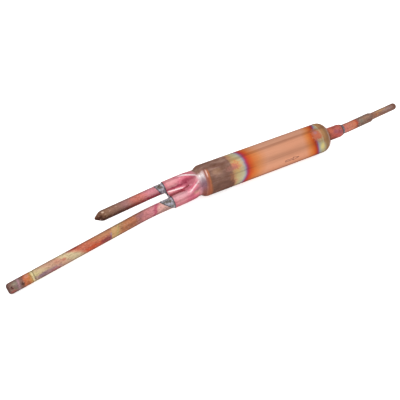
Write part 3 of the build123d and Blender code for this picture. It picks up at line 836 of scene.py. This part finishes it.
# %% Inlet pipe: the ring near the end, and the smoked end
end_colour = pipe.ramp(tube.along + fine * 1.6 + tube.up * 0.5, 70, 84, [
    (71.0, "CC9858"), (72.2, "C87C4A"), (74.4, "BC6A48"), (75.6, "8A5A4C"), (76.8, "7E6660"),
    (77.6, "A88088"), (78.6, "84706C"), (81, "8A6C60"), (83, "6C4E48")])
pipe_colour = pipe.mix(hard_edge.step(24.2, 24.7), near_colour, far_colour)
pipe_colour = pipe.mix(tube.along.step(70.2, 70.8), pipe_colour, end_colour)
ring_glow = (tube.along + fine * 0.8).band(70.1, 0.30, 0.35)
pipe_colour = pipe.mix(ring_glow * 0.7, pipe_colour, "DACB9C")
ring_way = tube.along + fine * 0.6
ring_lines = ring_way.band(69.3, 0.18, 0.25) + ring_way.band(70.95, 0.15, 0.2) * 0.7
pipe_colour = pipe.mix(ring_lines * 0.5, pipe_colour, "585840")
END_MARKS = [
    # along, up, half length, half height, strength, colour
    (75.8, -0.35, 0.8, 0.30, 0.85, "482E28"),
    (81.4, 0.05, 0.5, 0.16, 0.90, "3A241E"),
    (81.2, -0.22, 0.5, 0.13, 0.85, "5C1C24"),
    (79.6, 0.35, 1.5, 0.30, 0.45, "90907A"),
    (81.2, -0.72, 1.6, 0.18, 0.55, "A04040"),
    (72.8, 0.50, 1.1, 0.26, 0.55, "CC9080"),
    (73.2, -0.60, 1.6, 0.24, 0.50, "985030"),
    (79.8, -0.45, 0.8, 0.14, 0.60, "6C6C4C"),
]
pipe_colour = lay_on(pipe, tube, pipe_colour, END_MARKS, soft=0.5, warp=fine)
closed_rim = tube.along.step(82.6, 83.4)
pipe_colour = pipe.mix(closed_rim * 0.6, pipe_colour, "4E3634")
inlet_pipe_finish = used_pipe(pipe, tube, pipe_colour, soot=0.42)

# %% [markdown]
# ### The charging pipe
# The short pipe is pink at the braze and brown at its pinched nose. Its underside is a deeper
# crimson and brown, partly its own tint and partly a painted dark reflection, which a second,
# deeper ramp gives. A small painted highlight marks the upper facet of the nose, and painted
# shade darkens the lower one.

# %% Process pipe
pipe, tube, cloud, fine = pipe_bench("process_pipe_heat_tinted_copper",
                                     (-71.97, 4.47, -0.035), (-0.9966, -0.0732, -0.0366))
pipe_colour = pipe.ramp(tube.along + cloud * 5 + fine * 2, -9, 36, [
    (-8, "D08A94"), (2, "D08590"), (7.0, "C87468"), (10.5, "C07064"), (14, "A8726C"),
    (17, "9A6E6C"), (22, "8E6A5C"), (29, "86644E"), (33, "6E4A38")])
# the underside: partly its own deeper tint, partly a painted dark reflection
underside_tint_and_painted_reflection = pipe.ramp(tube.along, -9, 36, [
    (-8, "A41E44"), (3, "9C1E3C"), (11, "8A3430"), (19, "54342A"), (34, "38211C")])
under = (tube.up + fine * 0.35).step(-0.38, -0.80)
pipe_colour = pipe.mix(under * 0.9, pipe_colour, underside_tint_and_painted_reflection)
# painted highlight on the upper facet of the nose
nose_painted_highlight = tube.patch(30.2, 0.48, 0.7, 0.16, 0.5, fine)
pipe_colour = pipe.mix(nose_painted_highlight * 0.75, pipe_colour, "DCC0AA")
nose_shade = tube.along.step(30.8, 31.8) * (tube.up + fine * 0.2).step(0.12, -0.12)
pipe_colour = pipe.mix(nose_shade * 0.75, pipe_colour, "3E201A")
process_pipe_finish = used_pipe(pipe, tube, pipe_colour, soot=0.38)

# %% [markdown]
# ### The outlet pipe
# The stepped pipe saw less flame: red near its braze, then a dull olive brown where it was drawn
# thinner, and a darker tip. The thin end is only 4.5 mm wide, so its sides get painted shade of
# their own to look round from a distance.

# %% Outlet pipe
pipe, tube, cloud, fine = pipe_bench("outlet_pipe_heat_tinted_copper",
                                     (63.6, 0, 0), (0.9978, 0.0523, 0.0401))
pipe_colour = pipe.ramp(tube.along + cloud * 2.5 + fine * 1.4, -5, 42, [
    (-4, "C6746A"), (1, "C67E68"), (5.6, "CA7A5C"), (6.9, "BC5238"), (7.9, "92625A"),
    (10, "8A7264"), (14, "8E7262"), (19, "84685C"), (22, "946A58"), (30, "9A7866"),
    (36, "907064"), (41, "6E4638")])
OUTLET_MARKS = [
    # along, up, half length, half height, strength, colour
    (10.5, 0.05, 1.6, 0.40, 0.60, "8C8878"),
    (9.5, -0.60, 4.5, 0.26, 0.60, "584A40"),
    (15.0, 0.30, 3.0, 0.22, 0.50, "B48870"),
    (17.0, -0.50, 2.4, 0.24, 0.60, "6A3C34"),
    (28.0, 0.38, 4.2, 0.16, 0.70, "C8A070"),
    (24.2, -0.10, 1.6, 0.18, 0.75, "B06C3E"),
    (33.5, 0.05, 4.0, 0.20, 0.50, "A08A8C"),
    (31.0, -0.40, 6.0, 0.20, 0.60, "6E4C46"),
]
pipe_colour = lay_on(pipe, tube, pipe_colour, OUTLET_MARKS, soft=0.5, warp=fine * 1.4)
# painted shade on both sides of the thin end
thin_end_painted_shade = abs(tube.up).step(0.52, 0.74) * tube.along.step(19.5, 20.5)
pipe_colour = pipe.mix(thin_end_painted_shade * 0.45, pipe_colour, "42261F")
outlet_pipe_finish = used_pipe(pipe, tube, pipe_colour, soot=0.40)

# %% [markdown]
# ## Braze
# Silver braze runs into the gap by itself and freezes as a grey skin, slightly lumpy. Flux burns
# olive-brown on it, and a dark line is left wherever the skin ends: at the mouth of the neck, and
# where it thinned out along the pipe. Both ends are planes, so a distance from each draws the line.

# %% Braze between the neck and the pipes
BRAZE_GREYS = [
    (0.34, "5C5850"), (0.42, "847E7A"), (0.48, "96929A"), (0.56, "A4A0AC"), (0.64, "C2C0C8")]
BRAZE_METAL = 0.65
BRAZE_RELIEF = 0.7


def braze_bench(name):
    """A bench for braze, with its grey skin and the height of its lumps."""
    bench = Bench(name)
    lumps = bench.noise(0.8, 4.0)
    return bench, bench.ramp(bench.noise(0.55, 4.0), 0.3, 0.7, BRAZE_GREYS), lumps


def pipe_braze(name, film_place, film_normal, mouth_place, burnt_up):
    """Braze between the neck and a pipe, dark along both of its ends."""
    bench, colour, lumps = braze_bench(name)
    wander = bench.noise(1.2) - 0.5
    film = bench.along(film_place, film_normal)
    mouth = bench.along(mouth_place, NECK_WAY)
    across = bench.along(mouth_place, top_and_front(NECK_WAY)[0]) + wander * 3
    burnt = across.band(burnt_up, 0.5, 0.9) * (film + wander * 3.8).band(-2.2, 0.7, 1.0)
    colour = bench.mix(burnt * 0.85, colour, "4E463A")
    film_end = (film + wander * 0.8).step(-0.8, -0.2)
    dark_ends = (mouth + wander * 0.5).step(0.75, 0.2).most(film_end)
    colour = bench.mix(dark_ends * 0.8, colour, "3C383C")
    return bench.finish(colour, rough=0.34 + lumps * 0.2, metal=BRAZE_METAL,
                        bump=lumps, strength=BRAZE_RELIEF)


inlet_braze_finish = pipe_braze(
    "inlet_braze", film_place=(-67.344, -6.391, -1.727), film_normal=(-0.6342, -0.2858, -0.7184),
    mouth_place=(-63.45, -6.23, -1.58), burnt_up=1.2)
process_braze_finish = pipe_braze(
    "process_braze", film_place=(-67.978, 4.638, 0.119), film_normal=(-0.8833, -0.1852, -0.4306),
    mouth_place=(-63.98, 4.81, 0.27), burnt_up=1.0)
print("greys of the braze:", len(BRAZE_GREYS))

# %% [markdown]
# ### Braze of the small joints
# The seam of the web and the ring at the outlet are too narrow for two dark ends. The flame simply
# blackened them in patches, so they share one finish that differs only in how much soot is on it.

# %% Braze of the seam and of the outlet ring
def sooty_braze(name, soot_from, soot_to, strength, soot):
    """Braze of a small joint, blackened in patches."""
    bench, colour, lumps = braze_bench(name)
    colour = bench.mix(bench.noise(0.9).step(soot_from, soot_to) * strength, colour, soot)
    return bench.finish(colour, rough=0.4 + lumps * 0.2, metal=BRAZE_METAL,
                        bump=lumps, strength=BRAZE_RELIEF)


seam_braze_finish = sooty_braze("seam_braze", 0.35, 0.55, 0.85, "38343A")
ring_braze_finish = sooty_braze("ring_braze", 0.30, 0.60, 0.80, "4A4850")

# %% [markdown]
# ## Screens and drying beads
# Inside, two screens of pressed steel hold the charge of fired clay beads. They are out of sight in
# a closed drier, but the model can be cut open, so they get plain finishes of their own: clean grey
# steel, and a Voronoi pattern whose cells are as large as the beads.

# %% Screens and beads
steel = Bench("pressed_screen_steel")
steel_colour = steel.ramp(steel.noise(0.7, 4.0), 0.3, 0.7, [(0.3, "8C8983"), (0.7, "B3AFA6")])
steel_finish = steel.finish(steel_colour, rough=0.35 + steel.noise(2.0, 2.0) * 0.2, metal=0.9,
                            bump=steel.noise(3.0, 2.0), strength=0.1)
beads = Bench("drying_beads")
from_bead_centre = beads.add("ShaderNodeTexVoronoi", {"output": "Distance"}, beads.place,
                             Scale=0.55)
bead_colour = beads.mix(from_bead_centre.step(0.25, 0.6), "C9B294", "6E5B45")
beads_finish = beads.finish(bead_colour, rough=0.85, metal=0.0,
                            bump=-from_bead_centre, strength=1.0)

# %% [markdown]
# ## Finishes onto the pieces
# Each solid keeps its mesh and only gets a material. The long pipe that was modelled above takes
# the finish of the solid that it stands for.

# %% Finishes onto the CAD solids
FINISHES = {
    "shell": shell_finish,
    "inlet_pipe": inlet_pipe_finish,
    "process_pipe": process_pipe_finish,
    "outlet_pipe": outlet_pipe_finish,
    "inlet_pipe_braze": inlet_braze_finish,
    "process_pipe_braze": process_braze_finish,
    "web_seam_braze": seam_braze_finish,
    "outlet_pipe_braze": ring_braze_finish,
    "inlet_screen_ring": steel_finish,
    "inlet_screen": steel_finish,
    "outlet_screen_ring": steel_finish,
    "outlet_screen": steel_finish,
    "desiccant_bed": beads_finish,
}
for node_name, finish in FINISHES.items():
    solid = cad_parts[node_name]
    solid.data.materials.clear()
    solid.data.materials.append(finish)
long_pipe.data.materials.append(inlet_pipe_finish)
print("finished solids:", len(FINISHES))

# %% [markdown]
# ## Light and floor
# A metal shows its surroundings, so the surroundings are the light: an even white room, a large
# soft lamp above, and a small bright one that draws thin glints on the smooth, glazed neck while
# the rougher copper hardly answers it. The camera sees the room and the floor as white, and so do
# mirrored and refracted rays; the floor still takes a faint shadow.

# %% World
ROOM_LIGHT = 0.75
FULL_WHITE = 1.0


def white_when_looked_at(table, plain, white):
    """Mix two shaders: the white one for camera, mirror and glass rays, the plain one for light."""
    seen = table.add("ShaderNodeLightPath", {"output": "Is Camera Ray"})
    rays = seen.socket.node.outputs
    for ray in ("Is Glossy Ray", "Is Transmission Ray"):
        seen = seen.most(Wire(table, rays[ray]))
    return table.add("ShaderNodeMixShader", {}, seen, plain, white)


world = bpy.data.worlds.new("white_room")
bpy.context.scene.world = world
world.use_nodes = True
room = NodeTable(world.node_tree)
dim = room.add("ShaderNodeBackground", {}, (1, 1, 1, 1), ROOM_LIGHT)
bright = room.add("ShaderNodeBackground", {}, (1, 1, 1, 1), FULL_WHITE)
room.add("ShaderNodeOutputWorld", {}, white_when_looked_at(room, dim, bright))
print("room light on surfaces:", ROOM_LIGHT)

# %% [markdown]
# ### The floor
# The drier lies on white paper. The paper is a plain white surface for the light, and to the eye it
# glows a little as well, so that it meets the white of the room without an edge while the shadow
# under the drier stays. It lies a hair below the lowest point, so the two don't cut each other.

# %% Floor
FLOOR_SIZE = 4.0
FLOOR_WHITE = 0.86
FLOOR_GLOW = 0.7
FLOOR_DROP = 0.02 * mm

bpy.ops.object.select_all(action="DESELECT")
floor_z = cad_box[0][2]
bpy.ops.mesh.primitive_plane_add(size=FLOOR_SIZE, location=(0, 0, floor_z - FLOOR_DROP))
floor = bpy.context.object
floor.name = "floor"
paper = bpy.data.materials.new("pale_floor")
paper.use_nodes = True
sheet = NodeTable(paper.node_tree)
lit = sheet.add("ShaderNodeBsdfDiffuse", {}, (FLOOR_WHITE, FLOOR_WHITE, FLOOR_WHITE, 1))
glow = sheet.add("ShaderNodeEmission", {}, (1, 1, 1, 1), FLOOR_GLOW)
glowing = sheet.add("ShaderNodeAddShader", {}, lit, glow)
sheet.add("ShaderNodeOutputMaterial", {}, white_when_looked_at(sheet, lit, glowing))
floor.data.materials.append(paper)
print("floor at z in mm:", round(floor_z / mm, 2))

# %% [markdown]
# ### The lamps
# The large lamp lies over the whole bench and is close to a studio's soft box: it models the round
# forms. The small one is a point of sparkle. Both are turned to the middle of the barrel.

# %% Lamps
LAMPS = [
    # name, place in mm, width and depth in metres, power in watts
    ("soft_box", (-60, -60, 420), 0.90, 0.60, 0.95),
    ("spark", (-70, 20, 330), 0.035, 0.035, 0.030),
]
for name, place, width, depth, power in LAMPS:
    lamp_data = bpy.data.lights.new(name, "AREA")
    lamp_data.shape = "RECTANGLE"
    lamp_data.size = width
    lamp_data.size_y = depth
    lamp_data.energy = power
    lamp = bpy.data.objects.new(name, lamp_data)
    lamp.location = Vector(place) * mm
    lamp.rotation_euler = (-lamp.location).to_track_quat("-Z", "Y").to_euler()
    bpy.context.collection.objects.link(lamp)
bpy.context.scene.view_settings.view_transform = "Standard"
print("lamps:", len(LAMPS))
